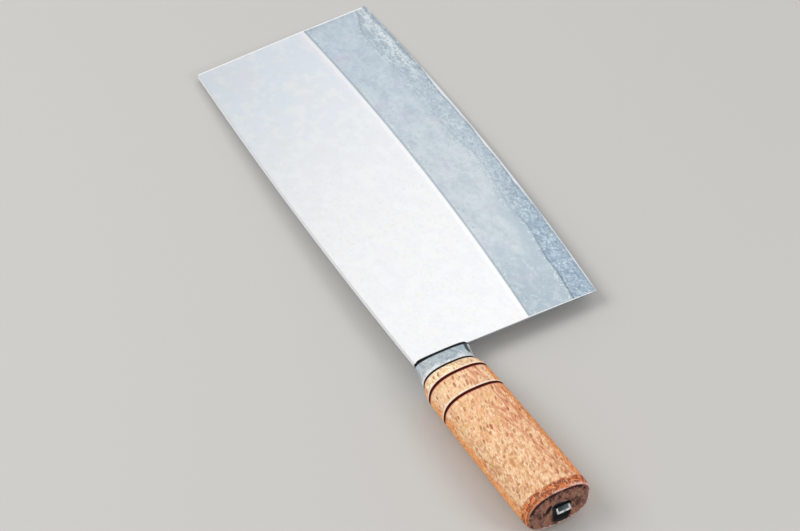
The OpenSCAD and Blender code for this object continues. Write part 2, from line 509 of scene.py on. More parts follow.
def make_joint_pitch():
    """The thin black line where the collar meets the wood."""
    behind = wood_end + 0.015 * mm
    before = ferrule_x - 0.015 * mm
    sections = [shoulder(behind, 0.14 * mm), shoulder(wood_end + 0.2 * mm, 0.2 * mm),
                ferrule_skin(before, 0.16 * mm), ferrule_skin(before, ferrule_wall),
                ferrule_skin(behind, ferrule_wall)]
    line = oval_ring("joint_pitch", *sections[0])
    draw_out(sections[0], sections[1:])
    close_tube()
    smooth(line, 50)
    return line


def make_tang():
    """The forged bar, with the head that straddles the neck and a dished, filed end in the butt."""
    tang = tang_bar("tang_steel", 0.05 * mm)
    open_up(tang)
    pick("FACE", lambda face: face.normal.x > 0.9)
    extrude(x=head_length)
    for up in (1, -1):
        pick("FACE", lambda face: face.normal.y * up > 0.9 and middle(face).x > tang_end_x)
        extrude(y=up * head_rise)
    pick("FACE", lambda face: faces_back(face) and middle(face).x < 1 * mm)
    bpy.ops.mesh.inset(thickness=0.9 * mm)
    push(x=0.7 * mm, z=0.45 * mm)
    bpy.ops.mesh.inset(thickness=0.4 * mm)
    push(x=0.15 * mm)
    pick("EDGE", lambda edge: all(v.co.x < 0.1 * mm for v in edge.verts)
         and any(abs(face.normal.x) < 0.5 for face in edge.link_faces))
    round_off(0.45 * mm, 3)
    put_down()
    cut(tang, block("neck", (neck_end_x, -20 * mm, -half_neck), (110 * mm, 20 * mm, half_neck)))
    smooth(tang, 30)
    return tang


def make_butt_pitch():
    """Pitch round the tang's end, sunk a little where it cooled."""
    pitch = pocket_block("butt_pitch", 0.35 * mm, pocket_depth - 0.02 * mm, -0.02 * mm)
    open_up(pitch)
    pick("FACE", faces_back)
    for thickness, down in ((0.35, 0.3), (0.45, 0.22), (0.55, 0.1)):
        bpy.ops.mesh.inset(thickness=thickness * mm)
        push(x=down * mm)
    put_down()
    cut(pitch, tang_bar("tang room", -1 * mm, 0.01 * mm))
    smooth(pitch, 40)
    return pitch


# Finishes


class Finish:
    """A material under construction, with the nodes that its finish needs. Its x, y and z, and all that is
    measured with them, are in millimetres. What says how a pattern is laid out is in metres."""

    def __init__(self, name):
        self.material = bpy.data.materials.new(name)
        self.material.use_nodes = True
        self.tree = self.material.node_tree
        self.tree.nodes.clear()
        self.shader = self.add("BsdfPrincipled")
        self.tree.links.new(self.shader.outputs["BSDF"], self.add("OutputMaterial").inputs["Surface"])
        where = self.add("TexCoord")
        self.place, self.facing = where.outputs["Object"], where.outputs["Normal"]
        self.x, self.y, self.z = [self.times(place, 1 / mm) for place in self.split(self.place)]

    def feed(self, socket, what):
        if isinstance(what, bpy.types.NodeSocket):
            self.tree.links.new(what, socket)
        elif isinstance(what, (tuple, list)) and len(what) == 3 and socket.type == "RGBA":
            socket.default_value = (*what, 1)
        else:
            socket.default_value = what

    def add(self, kind, **terms):
        """Adds a node and feeds the inputs that are named."""
        node = self.tree.nodes.new("ShaderNode" + kind)
        for name, term in terms.items():
            self.feed(node.inputs[name], term)
        return node

    def split(self, vector):
        return self.add("SeparateXYZ", Vector=vector).outputs

    def sum(self, kind, *terms):
        node = self.add("Math")
        node.operation = kind
        for socket, term in zip(node.inputs, terms):
            self.feed(socket, term)
        return node.outputs[0]

    def times(self, value, *others):
        for other in others:
            value = self.sum("MULTIPLY", value, other)
        return value

    def minus(self, value, other):
        return self.sum("SUBTRACT", value, other)

    def most(self, value, other):
        return self.sum("MAXIMUM", value, other)

    def away(self, value, centre=0.0):
        """How far a value is from another, either way."""
        return self.sum("ABSOLUTE", self.minus(value, centre))

    def line(self, value, slope, start):
        """A value times a slope, from a start."""
        return self.sum("MULTIPLY_ADD", value, slope, start)

    def stray(self, value, pattern, width):
        """A value that strays with a pattern, half of the width to each side."""
        return self.line(self.minus(pattern, 0.5), width, value)

    def fade(self, value, start, end, low=0.0, high=1.0):
        """From low to high as the value goes from start to end, smoothly."""
        node = self.add("MapRange")
        node.interpolation_type = "SMOOTHSTEP"
        for socket, term in zip(node.inputs, (value, start, end, low, high)):
            self.feed(socket, term)
        return node.outputs[0]

    def band(self, value, centre, half, soft):
        """One near a value, falling to nothing on both sides."""
        return self.fade(self.away(value, centre), half + soft, half)

    def within(self, value, start, full, waning, end):
        """One between full and waning, falling to nothing at start and at end."""
        return self.times(self.fade(value, start, full), self.fade(value, end, waning))

    def oval(self, across, up, half_across, half_up, power=2):
        """One on the rim of an oval, less inside it and more outside."""
        return self.sum("ADD", *[self.sum("POWER", self.away(self.times(value, 1 / half)), power)
                                 for value, half in ((across, half_across), (up, half_up))])

    def lay_out(self, longer=(1, 1, 1), turn=(0, 0, 0), shift=(0, 0, 0)):
        """Places for a pattern that is drawn out along its own directions, then turned and moved."""
        node = self.add("Mapping", Vector=self.place)
        node.vector_type = "TEXTURE"
        node.inputs["Location"].default_value = shift
        node.inputs["Rotation"].default_value = [math.radians(a) for a in turn]
        node.inputs["Scale"].default_value = longer
        return node.outputs[0]

    def cloud(self, scale, detail, rough=0.5, warp=0.0, **laid):
        """A cloudy pattern, laid out as lay_out says."""
        where = self.lay_out(**laid) if laid else self.place
        return self.add("TexNoise", Vector=where, Scale=scale, Detail=detail, Roughness=rough,
                        Distortion=warp).outputs["Fac"]

    def cells(self, scale, **laid):
        """Distance to the middle of each cell, and a colour of its own for each."""
        where = self.lay_out(**laid) if laid else self.place
        node = self.add("TexVoronoi", Vector=where, Scale=scale)
        return node.outputs["Distance"], node.outputs["Color"]

    def paint(self, colour, *coats):
        """Lays coats over a colour, one after another. A coat is its share and its colour."""
        for share, over in coats:
            mix = self.add("Mix")
            mix.data_type = "RGBA"
            colour_in, over_in, colour_out = mix.inputs[6], mix.inputs[7], mix.outputs[2]
            self.feed(mix.inputs["Factor"], share)
            self.feed(colour_in, colour)
            self.feed(over_in, over)
            colour = colour_out
        return colour

    def relief(self, height, depth, strength, under=None):
        node = self.add("Bump", Height=height, Distance=depth * mm, Strength=strength)
        if under is not None:
            self.feed(node.inputs["Normal"], under)
        return node.outputs[0]

    def finish(self, colour, roughness, **sockets):
        """Feeds the shader. Other sockets are named as in Blender, with _ for a space."""
        self.feed(self.shader.inputs["Base Color"], colour)
        self.feed(self.shader.inputs["Roughness"], roughness)
        for name, term in sockets.items():
            self.feed(self.shader.inputs[name.replace("_", " ")], term)
        return self.material


def layer_line(f, along):
    """Height above the edge of the wavy line where the layers meet, from along 0 at the heel to 1."""
    heights = ((0.0, 12.5), (0.07, 11.8), (0.15, 11.6), (0.2, 10.5), (0.225, 10.0), (0.27, 10.9), (0.3, 11.6),
               (0.45, 8.8), (0.57, 11.8), (0.82, 12.5), (0.9, 12.6), (0.97, 8.0), (1.0, 6.0))
    full = 16
    curve = f.add("FloatCurve", Value=along)
    points = curve.mapping.curves[0].points
    for k, (place, height) in enumerate(heights):
        if k < 2:
            points[k].location = (place, height / full)
        else:
            points.new(place, height / full)
    curve.mapping.update()
    wander = f.cloud(170, 3, 0.5)
    return f.stray(f.times(curve.outputs[0], full), wander, 1.8)


def flat_colours(f, depth, haze):
    """The bright flat: cooler towards the tip, hazy, with a pinkish tint near the bevel towards the tip, and
    a painted highlight along the bevel.
    """
    speck = f.cloud(420, 2, 0.5)
    wavy_depth = f.stray(depth, speck, 2.4)
    return f.paint(
        (0.91, 0.91, 0.91),
        (f.fade(f.x, 190, 320), (0.80, 0.87, 0.935)),
        (f.fade(haze, 0.56, 0.36, 0, 0.5), (0.83, 0.85, 0.875)),
        (f.fade(speck, 0.5, 0.66, 0, 0.55), (0.845, 0.855, 0.925)),
        (f.fade(speck, 0.42, 0.32, 0, 0.5), (0.80, 0.83, 0.83)),
        (f.fade(f.cloud(130, 3, 0.6), 0.48, 0.62, 0, 0.45), (0.92, 0.945, 0.95)),
        (f.times(f.band(wavy_depth, bevel_height / mm + 2.2, 1.4, 1.6),
                 f.fade(f.x, 250, 300, 0.1, 0.5)), (0.93, 0.90, 0.96)),
        # Painted highlight along the flat where it meets the bevel
        (f.times(f.band(wavy_depth, bevel_height / mm + 1, 0.55, 1.1), 0.65), (0.97, 0.985, 0.99)))


def bevel_colours(f, depth, fleck):
    """The ground bevel: blue-grey clouds, with painted shade that darkens it towards the heel, and flecks
    near its top.
    """
    ground = f.cloud(150, 4, 0.62, 0.3, longer=(1.6, 1, 1))
    tint = f.cloud(75, 3, 0.6)
    blot = f.cloud(330, 3, 0.6, 0.5, shift=(0.2, 0.1, 0))
    strewn = f.times(f.fade(depth, 29, 36, 0.15, 0.6), f.fade(tint, 0.56, 0.44))
    return f.paint(
        (0.685, 0.75, 0.80),
        (f.fade(f.x, 190, 320), (0.645, 0.74, 0.83)),
        # Painted shade: darker towards the heel
        (f.fade(f.x, 172, 110), (0.48, 0.57, 0.64)),
        (f.fade(tint, 0.5, 0.66, 0, 0.5), (0.70, 0.69, 0.80)),
        (f.fade(ground, 0.6, 0.3, 0, 0.5), (0.51, 0.60, 0.67)),
        (f.fade(ground, 0.5, 0.72, 0, 0.4), (0.74, 0.82, 0.86)),
        (f.fade(blot, 0.5, 0.64, 0, 0.4), (0.74, 0.82, 0.84)),
        (f.fade(blot, 0.46, 0.36, 0, 0.35), (0.50, 0.60, 0.66)),
        (f.times(strewn, f.fade(fleck, 0.55, 0.68)), (0.84, 0.89, 0.92)),
        (f.times(strewn, f.fade(fleck, 0.42, 0.32)), (0.42, 0.48, 0.55)),
        (f.times(f.band(depth, bevel_height / mm - 0.6, 0.25, 0.7), 0.5), (0.40, 0.44, 0.48)))


def core_colours(f, depth, fleck, mottle, curl):
    """The hard steel: darker at the heel, flecked, with clouds that curl white and grey towards the tip."""
    patches = f.cloud(150, 3, 0.55)
    streak = f.cloud(800, 3, 0.6, 0.4, longer=(5, 1, 1))
    heel = f.fade(f.x, 230, 140)
    dark = f.paint((0.51, 0.61, 0.68), (heel, (0.345, 0.45, 0.56)))
    light = f.paint((0.71, 0.79, 0.85), (heel, (0.575, 0.70, 0.80)))
    near_edge = f.times(f.fade(depth, 7, 2), f.fade(f.x, 165, 190, 0.2, 0.08))
    lively = f.fade(f.x, 200, 160, 0.4, 0.62)
    at_tip = f.fade(f.x, 250, 290)
    tip_glint = f.times(f.band(depth, 4.2, 0.8, 1.6), f.fade(f.x, 265, 290))
    return f.paint(
        dark,
        (f.fade(mottle, 0.36, 0.62), light),
        (f.fade(patches, 0.5, 0.7, 0, 0.4), dark),
        (near_edge, (0.36, 0.43, 0.56)),
        (f.times(f.fade(fleck, 0.52, 0.66), lively, f.fade(patches, 0.66, 0.46, 0.3, 1)), (0.84, 0.91, 0.95)),
        (f.times(f.fade(fleck, 0.44, 0.34), lively, 0.7), (0.28, 0.36, 0.45)),
        (f.times(f.fade(curl, 0.52, 0.62, 0, 0.6), at_tip), (0.86, 0.93, 0.97)),
        (f.times(f.fade(curl, 0.47, 0.38, 0, 0.6), at_tip), (0.40, 0.50, 0.58)),
        (f.times(tip_glint, f.fade(fleck, 0.4, 0.6, 0.25, 0.9)), (0.90, 0.96, 0.99)),
        (f.times(f.fade(streak, 0.52, 0.66, 0, 0.45), f.fade(depth, 6.5, 3)), (0.33, 0.43, 0.51)))


def sharpened_edge(f, colour, depth, ragged):
    """A bright line along the edge that comes and goes, with a darker one inside it."""
    worn_lip = f.cloud(45, 2, 0.5)
    wide = f.within(f.x, 140, 190, 250, 290)
    lip = f.line(worn_lip, f.fade(wide, 0, 1, 1.3, 2.4), -0.15)
    from_lip = f.minus(depth, lip)
    shine = f.most(f.fade(worn_lip, 0.34, 0.6, 0.3, 0.9), f.times(wide, 0.8))
    bright = f.times(f.fade(from_lip, 0.25, -0.15), shine, f.fade(f.x, 285, 265, 0.3, 1))
    below = f.times(f.band(from_lip, 0.55, 0.2, 0.7), f.fade(ragged, 0.4, 0.6, 0.15, 0.65))
    return f.paint(colour, (below, (0.30, 0.38, 0.45)),
                   (bright, f.paint((0.84, 0.90, 0.94), (wide, (0.96, 0.98, 1.0)))))


def rim_highlight_mask(f):
    """One on the narrow rims of the flat along the tip side and the heel side, where a highlight is painted,
    and nothing on the neck.
    """
    tip = (math.cos(tip_lean), math.sin(tip_lean))
    heel = (-math.cos(heel_lean), math.sin(heel_lean))
    tip_place = ((neck_x + blade_length) * tip[0] + spine_rise * tip[1]) / mm
    heel_place = (neck_x * heel[0] + neck_bottom * heel[1]) / mm
    to_tip = f.line(f.x, tip[0], f.times(f.y, tip[1]))
    to_heel = f.line(f.x, heel[0], f.times(f.y, heel[1]))
    rims = f.most(f.fade(to_tip, tip_place - 1.0, tip_place - 0.45),
                  f.fade(to_heel, heel_place - 0.6, heel_place - 0.3))
    off_neck = f.most(f.fade(f.x, neck_x / mm - 0.05, neck_x / mm + 0.1),
                      f.fade(f.y, neck_bottom / mm + 0.1, neck_bottom / mm - 0.1))
    return f.times(rims, off_neck)


def blade_steel(name):
    """Bright flat, grey ground bevel, and the cloudy hard steel below the wavy line where the layers meet."""
    f = Finish(name)
    from_x, from_y = f.minus(f.x, edge_centre[0] / mm), f.minus(f.y, edge_centre[1] / mm)
    depth = f.minus(edge_radius / mm, f.sum("SQRT", f.line(from_x, from_x, f.times(from_y, from_y))))
    haze = f.cloud(30, 4, 0.6, longer=(1, 0.5, 1))
    fleck = f.cloud(760, 2, 0.55, 0.5)
    mottle = f.cloud(420, 4, 0.66, 0.8, longer=(1.4, 1, 1))
    curl = f.cloud(230, 2, 0.5, 1.6, longer=(1.8, 1, 1), shift=(0.13, 0.02, 0.01))
    ragged = f.cloud(480, 4, 0.65, 0.5)

    # Place along the blade, turned round on the left side, and height above the line where the layers meet
    right = f.sum("GREATER_THAN", f.z, 0.0)
    along = f.sum("MINIMUM", f.most(f.sum("DIVIDE", f.minus(f.x, 104), 227), 0.0), 1.0)
    along = f.away(along, f.minus(1.0, right))
    above = f.minus(depth, layer_line(f, along))

    # The line is plain at one end, lost in the clouds of the middle, and half plain at the other end
    clear = f.most(f.fade(along, 0.32, 0.16, 0.3, 1.0), f.fade(along, 0.84, 0.93, 0, 0.45))
    clear = f.times(clear, f.fade(f.away(along, 0.7), 0.02, 0.18, 0.2, 1.0))
    reach = f.fade(clear, 0, 1, 5.0, 0.5)
    inside = f.stray(above, ragged, f.times(reach, 3.4))
    core_part = f.fade(f.sum("DIVIDE", inside, reach), 1.0, -1.0)
    shade = f.times(f.within(f.x, 120, 135, 165, 185), f.band(above, 1.5, 2.5, 5), 0.6)
    ripple = f.times(f.band(curl, 0.5, 0.004, 0.028), f.band(above, 0.0, 2.2, 2.5),
                     f.fade(f.x, 150, 190, 0.1, 0.5))
    twin = f.times(f.band(above, 1.6, 0.5, 1.2), f.fade(fleck, 0.5, 0.64, 0, 0.7), clear)
    seam = f.times(f.band(above, 0.1, 0.22, 0.62), f.fade(ragged, 0.38, 0.58, 0.4, 0.95),
                   f.most(f.fade(f.x, 140, 116, 0.62, 1.0), f.fade(f.x, 280, 300, 0, 0.72)), clear)
    on_bevel = f.fade(depth, bevel_height / mm + 0.05, bevel_height / mm - 0.05)
    colour = f.paint(
        flat_colours(f, depth, haze),
        (on_bevel, bevel_colours(f, depth, fleck)),
        (shade, (0.49, 0.595, 0.665)),
        (core_part, core_colours(f, depth, fleck, mottle, curl)),
        (ripple, (0.42, 0.51, 0.58)),
        (twin, (0.82, 0.88, 0.92)),
        (seam, (0.19, 0.25, 0.30)))
    colour = sharpened_edge(f, colour, depth, ragged)

    # Dressed sides of the spine, the tip and the heel, and the core's own sides, which the others cover. The
    # lower part of the heel side gets a painted dark reflection
    out_x, _, out_z = f.split(f.facing)
    off_edge = f.fade(depth, 1.5, 3)
    side = f.times(f.fade(f.away(out_z), 0.8, 0.4), off_edge)
    # Painted dark reflection on the lower part of the heel side
    under = f.times(f.fade(f.z, 0.75, 0.35), f.fade(out_x, -0.7, -0.9), off_edge)
    inner = f.times(f.fade(depth, 14, 15), f.fade(f.away(f.z), half_core / mm + 0.02, half_core / mm - 0.02))
    # Painted highlight along the rims of the flat at the tip side and the heel side
    rim_highlight = f.times(rim_highlight_mask(f), off_edge, f.fade(f.away(out_z), 0.4, 0.8))
    colour = f.paint(
        colour,
        (f.times(side, 0.92), (0.97, 0.98, 0.985)),
        (f.times(under, 0.9), (0.30, 0.33, 0.36)),
        (f.times(inner, 0.35), (0.50, 0.54, 0.58)),
        (f.times(rim_highlight, f.fade(ragged, 0.35, 0.6, 0.55, 0.95)), (0.97, 0.98, 0.99)))

    # Strokes of the stones across the blade
    stones = f.cloud(3600, 2, 0.5, longer=(1, 30, 1), turn=(0, 0, -4))
    rough = f.line(core_part, 0.06, f.line(on_bevel, 0.08, 0.34))
    rough = f.line(side, 0.25, f.stray(rough, haze, 0.08))
    plain = f.fade(f.most(side, f.times(rim_highlight, 0.8)), 0, 1, 1.0, 0.12)
    return f.finish(colour, rough, Metallic=f.most(plain, under),
                    Normal=f.relief(stones, 0.004, 0.35, f.relief(mottle, 0.02, 0.25)))


def collar_steel():
    """Drawn steel, clouded by the heat that closed it, with a painted highlight along its rear rim."""
    f = Finish("collar steel")
    patches = f.cloud(330, 3, 0.62, 0.6, longer=(1.6, 1, 1), shift=(0.01, 0.02, 0))
    fine = f.cloud(900, 3, 0.6, 0.4)
    lilac = f.cloud(300, 2, 0.5, shift=(0.3, 0.1, 0.2))
    drawn = f.cloud(560, 3, 0.6, 0.4, longer=(5, 1, 1))
    cool = f.times(f.fade(f.x, 98, 101), f.fade(f.y, -7, -11, 0, 0.7))
    # Paler patches on the spine side, a painted highlight where the light falls
    pale = f.times(f.fade(f.y, 3, 10), f.fade(lilac, 0.56, 0.44, 0, 0.85))
    # Painted highlight along the rear rim, less metallic there
    rear = f.stray(f.x, patches, -6)
    rear = f.times(f.fade(rear, 96.8, 95.2), f.fade(fine, 0.38, 0.58, 0.45, 1.0),
                   f.fade(f.y, -9, 2, 0.55, 1.0))

    # Painted dark reflection where the mouth turns under on the edge's side, and a painted highlight strip
    # outside it
    bend = f.minus(f.x, 96)
    turned = f.line(f.times(bend, bend), 0.032, f.minus(f.y, -12.9))
    upper = f.fade(f.z, 0.2, 1.0)
    bright = f.times(f.fade(turned, -0.8, -1.4), upper, 0.7)
    dark = f.times(f.band(turned, 0.0, 0.55, 0.8), upper, f.fade(f.x, 95.8, 98.5, 0, 0.93))
    ends = f.most(f.fade(f.x, 104.35, 104.65), f.fade(f.x, 94.05, 93.85))
    colour = f.paint(
        (0.57, 0.715, 0.82),
        (f.fade(patches, 0.36, 0.62), (0.86, 0.985, 1.0)),
        (f.fade(drawn, 0.5, 0.62, 0, 0.6), (0.97, 0.99, 1.0)),
        (f.fade(drawn, 0.46, 0.36, 0, 0.5), (0.38, 0.46, 0.52)),
        (cool, (0.50, 0.68, 0.76)),
        (f.fade(lilac, 0.5, 0.68, 0, 0.5), (0.78, 0.80, 0.93)),
        (pale, (0.98, 0.99, 1.0)),
        (f.fade(fine, 0.5, 0.7, 0, 0.5), (0.93, 0.97, 0.97)),
        (f.fade(fine, 0.48, 0.34, 0, 0.5), (0.41, 0.50, 0.60)),
        (rear, (0.98, 0.99, 1.0)),
        (bright, (0.97, 0.99, 1.0)),
        (dark, (0.03, 0.05, 0.065)),
        (ends, (0.008, 0.011, 0.014)))
    dents = f.relief(f.cloud(330, 3, 0.6), 0.05, 0.5)
    return f.finish(colour, f.fade(patches, 0.3, 0.7, 0.34, 0.5), Metallic=f.fade(rear, 0, 1, 1.0, 0.45),
                    Normal=dents)


def tang_finish():
    """Painted highlights on three lips of its end, dull and grey in the dish and along the bar."""
    f = Finish("tang steel")
    marks = f.cloud(900, 3, 0.6, longer=(1, 4, 1))
    skew = f.away(f.y, f.line(f.z, 0.31, -1.87))
    # Painted highlight, a U on three lips of the end, less metallic there
    lips = f.most(f.fade(skew, 2.5, 3.1), f.fade(f.z, -4.1, -4.9))
    highlight_patches = f.fade(f.cloud(420, 2, 0.5), 0.34, 0.5, 0.45, 1.0)
    lips = f.times(lips, f.fade(f.z, -0.7, -1.3), highlight_patches, f.fade(f.x, 1.2, 0.9))
    colour = f.paint(
        (0.03, 0.05, 0.06),
        (f.fade(marks, 0.3, 0.7), (0.13, 0.175, 0.195)),
        (f.fade(f.y, -1, -5, 0, 0.3), (0.36, 0.44, 0.47)),
        (lips, (0.97, 0.99, 1.0)))
    return f.finish(colour, f.fade(marks, 0.3, 0.7, 0.3, 0.45), Metallic=f.fade(lips, 0, 1, 1.0, 0.3),
                    Normal=f.relief(marks, 0.08, 0.5))


def black_pitch():
    """Lumpy and nearly without gloss, with a little dust on it."""
    f = Finish("black pitch")
    lumps = f.cloud(700, 3, 0.6)
    dust = f.cloud(2600, 2, 0.6)
    colour = f.paint((0.003, 0.004, 0.005), (f.fade(dust, 0.5, 0.75), (0.020, 0.027, 0.028)))
    return f.finish(colour, f.fade(lumps, 0.3, 0.7, 0.28, 0.5), Normal=f.relief(lumps, 0.15, 0.6),
                    Specular_IOR_Level=0.12)


def wood_ground(f, lean, slow, flame, blush):
    """Cream and peach clouds drawn out along the grain, with pink and olive in them."""
    dapple = f.cloud(640, 2, 0.55, 0.4, longer=(2, 1, 1), turn=lean, shift=(0.4, 0.2, 0.1))
    near_butt = f.fade(f.x, 58, 38)
    return f.paint(
        (0.80, 0.43, 0.205),
        (f.fade(slow, 0.34, 0.66), (0.92, 0.62, 0.36)),
        (f.fade(blush, 0.5, 0.64, 0, 0.55), (0.90, 0.42, 0.27)),
        (f.fade(blush, 0.48, 0.34, 0, 0.45), (0.80, 0.62, 0.29)),
        (f.fade(flame, 0.48, 0.32, 0, 0.7), (0.52, 0.27, 0.10)),
        (f.fade(flame, 0.5, 0.66, 0, 0.8), (1.0, 0.80, 0.56)),
        (f.times(near_butt, f.fade(dapple, 0.47, 0.38, 0, 0.72)), (0.54, 0.24, 0.11)),
        (f.times(near_butt, f.fade(dapple, 0.53, 0.63, 0, 0.45)), (1.0, 0.78, 0.54)))


def front_ring(f, colour, ring):
    """The wood between the front groove and the ferrule: yellower, with strokes of pink, cream and brown."""
    patch = f.cloud(760, 2, 0.55, 0.3, longer=(3, 1, 1), turn=(0, 0, 8))
    other = f.cloud(700, 2, 0.55, 0.3, longer=(3, 1, 1), turn=(0, 0, 8), shift=(0.1, 0, 0))
    return f.paint(
        colour,
        (f.times(ring, 0.5), (0.97, 0.82, 0.50)),
        (f.times(ring, f.fade(patch, 0.5, 0.56, 0, 0.85)), (0.93, 0.53, 0.34)),
        (f.times(ring, f.fade(patch, 0.47, 0.41, 0, 0.9)), (1.0, 0.97, 0.86)),
        (f.times(ring, f.fade(other, 0.47, 0.40, 0, 0.8)), (0.66, 0.41, 0.17)),
        (f.times(ring, f.fade(other, 0.53, 0.6, 0, 0.6)), (0.90, 0.84, 0.42)))


def growth_lines(f, flame):
    """A few thin lines of growth, towards the edge's side."""
    years = f.cloud(130, 2, 0.5, 0.3, longer=(6, 1, 1), turn=(0, 0, 8), shift=(0.2, 0.05, 0.07))
    return f.times(f.most(f.band(years, 0.5, 0.008, 0.03), f.band(years, 0.42, 0.006, 0.026)),
                   f.fade(f.y, 4, -3, 0.15, 0.85), f.fade(flame, 0.35, 0.55, 0.4, 1))


def narrow_sides(f, slow, flame):
    """A coat of honey-brown for the narrow sides, wider on the edge's side than on the spine's: partly the
    wood's own colour where it turns, and partly painted shade.
    """
    uneven = f.line(f.sum("ADD", slow, f.minus(flame, 0.5)), 8, -1)
    edge_side = f.fade(f.sum("ADD", uneven, f.y), -6.7, -10.0, 0, 0.96)
    spine_side = f.times(f.fade(f.y, 11, 14, 0, 0.78),
                         f.fade(f.sum("ADD", uneven, f.z), 6.0, 2.8))
    towards_edge = f.fade(f.y, 2, -2)
    # Darker honey towards the edge's side: painted shade
    honey = f.paint(f.paint((0.90, 0.27, 0.06), (towards_edge, (0.66, 0.18, 0.042))),
                    (f.fade(flame, 0.36, 0.64),
                     f.paint((1.0, 0.50, 0.18), (towards_edge, (0.93, 0.41, 0.14)))))
    return (f.most(edge_side, spine_side), honey)


def pores(f):
    """The short brown flecks, in three sets. Gives how much of each there is, and its colour."""
    sets = ((700, (0, 0, 0), 0.8), (880, (0.05, 0.013, 0.021), 0.7), (560, (0.02, 0.03, 0.01), 0.9))
    coats = []
    for scale, shift, share in sets:
        laid = {"longer": (2.7, 1, 1), "turn": (0, 0, -16), "shift": shift}
        distance, chance = f.cells(scale, **laid)
        for_size, for_depth, for_tone = f.add("SeparateColor", Color=chance).outputs
        size = f.fade(for_size, 0.1, 1.0, 0.04, 0.36)
        rim = f.stray(distance, f.cloud(3 * scale, 2, 0.6, **laid), 0.3)
        depth = f.fade(for_depth, 0, 1.0, 0.35 * share, share)
        fleck = f.times(f.fade(f.minus(rim, size), 0.10, -0.08), depth)
        coats.append((fleck, f.paint((0.40, 0.18, 0.07), (for_tone, (0.44, 0.11, 0.06)))))
    return coats


def rounding_coats(f, flame, broken, grit):
    """Coats for the rounding of the butt: streaks, a broken line where they start, and a painted highlight
    along the rim.
    """
    streak = f.cloud(760, 3, 0.62, 0.6, longer=(1.1, 4, 4))
    streaks = f.paint(
        (0.22, 0.032, 0.012),
        (f.fade(streak, 0.45, 0.63), (0.80, 0.21, 0.045)),
        (f.fade(flame, 0.53, 0.64, 0, 0.6), (0.97, 0.52, 0.29)))
    start = f.times(f.band(f.x, 5.2, 0.12, 0.4), f.fade(broken, 0.47, 0.58, 0, 0.6))
    # Painted highlight along the rim of the end face, broken in places, with a second one lower on the edge's
    # side
    highlight_breaks = f.line(grit, 0.6, f.times(broken, 0.6))
    rim = f.times(f.band(f.x, 0.42, 0.15, 0.35), f.fade(highlight_breaks, 0.63, 0.54, 0.05, 0.85))
    rim_colour = f.paint((0.74, 0.46, 0.40), (f.fade(f.y, 2, 9), (0.52, 0.22, 0.12)))
    low_rim = f.times(f.band(f.x, 0.8, 0.25, 0.5), f.fade(f.y, -2, -8),
                      f.fade(grit, 0.40, 0.56, 0.15, 0.85))
    return ((f.fade(f.stray(f.x, streak, 3), 5.5, 4.8, 0, 0.88), streaks),
            (start, (0.34, 0.05, 0.03)), (rim, rim_colour), (low_rim, (0.84, 0.58, 0.52)))


def end_grain(f, grain, broken, grit):
    """Mottled brown, with pores seen end on, painted shade along the rim above and a painted highlight along
    the rim below.
    """
    knot = f.cloud(330, 2, 0.5, longer=(1, 1, 1.6), shift=(0, 0.05, 0.03))
    smudge = f.cloud(430, 2, 0.5, 0.3, longer=(1, 0.8, 2.2), turn=(-20, 0, 0), shift=(0.1, 0.3, 0.2))
    dots = f.cells(620)[0]
    to_rim = f.stray(f.oval(f.y, f.z, 16.1, 11.15, 2.5), grit, 0.8)
    # Painted shade along the upper rim, and below it a painted highlight along the lower rim
    upper = f.times(f.fade(to_rim, 0.66, 0.80), f.fade(f.z, -1, 3.0),
                    f.fade(broken, 0.58, 0.48, 0.2, 0.98))
    lower = f.times(f.fade(to_rim, 0.91, 0.97), f.fade(f.line(f.y, 0.45, f.z), -3, -6, 0, 0.85))
    return f.paint(
        (0.070, 0.022, 0.020),
        (f.fade(grain, 0.43, 0.57), (0.32, 0.122, 0.084)),
        (f.fade(knot, 0.5, 0.58, 0, 0.6), (0.29, 0.175, 0.10)),
        (f.fade(broken, 0.5, 0.6, 0, 0.5), (0.29, 0.15, 0.12)),
        (f.fade(grit, 0.53, 0.62, 0, 0.55), (0.45, 0.20, 0.14)),
        (f.fade(smudge, 0.54, 0.62, 0, 0.5), (0.38, 0.20, 0.135)),
        (f.fade(smudge, 0.44, 0.37, 0, 0.5), (0.08, 0.023, 0.020)),
        (f.fade(dots, 0.34, 0.14, 0, 0.75), (0.03, 0.010, 0.010)),
        (upper, (0.018, 0.003, 0.007)),
        (lower, (0.80, 0.60, 0.55)))


def smeared_pitch(f, grain, grit):
    """A coat of pitch that was smeared over the wood below the pocket, and a painted shadow in black along
    the pocket's side.
    """
    low = f.oval(f.minus(f.y, -2.1), f.minus(f.z, -7.6), 4.8, 2.9)
    low = f.fade(f.stray(low, grain, 1.2), 1.15, 0.85, 0, 0.97)
    # Painted shadow along the pocket's side
    beside = f.stray(f.minus(f.y, f.line(f.z, 0.078, 3.3)), grit, 1.2)
    beside = f.times(f.band(beside, 0.0, 0.5, 0.2),
                     f.within(f.z, -8.9, -7.9, 2.2, 3.2), 0.92)
    return (f.times(f.most(low, beside), f.fade(f.x, 2, 1)),
            f.paint((0.003, 0.004, 0.004), (f.fade(grit, 0.54, 0.68), (0.04, 0.035, 0.03))))


def dark_split(f):
    """A coat for the short split in the end grain, which leans."""
    y, z = [place / mm for place in split_place]
    lean = 0.35
    across = f.line(f.minus(f.z, z), lean, f.minus(f.y, y))
    oval = f.oval(across, f.minus(f.z, z), 1.4, 2.5)
    return (f.times(f.fade(oval, 1.3, 0.75), f.fade(f.x, 0.3, 0.1)), (0.010, 0.002, 0.004))


def burnt_groove(f, x, flame):
    """Coats for a groove: burnt inside, a painted highlight on the lip towards the blade, reddish on the
    other.
    """
    # Painted highlight on the lip towards the blade
    pale = f.times(f.band(f.x, x + 1.3, 0.2, 0.45), f.fade(flame, 0.3, 0.6, 0.35, 0.85))
    red = f.times(f.band(f.x, x - 1.05, 0.15, 0.35), 0.5)
    return ((pale, (0.98, 0.86, 0.70)), (red, (0.72, 0.22, 0.14)),
            (f.band(f.x, x, 0.70, 0.28), (0.065, 0.0, 0.0)))


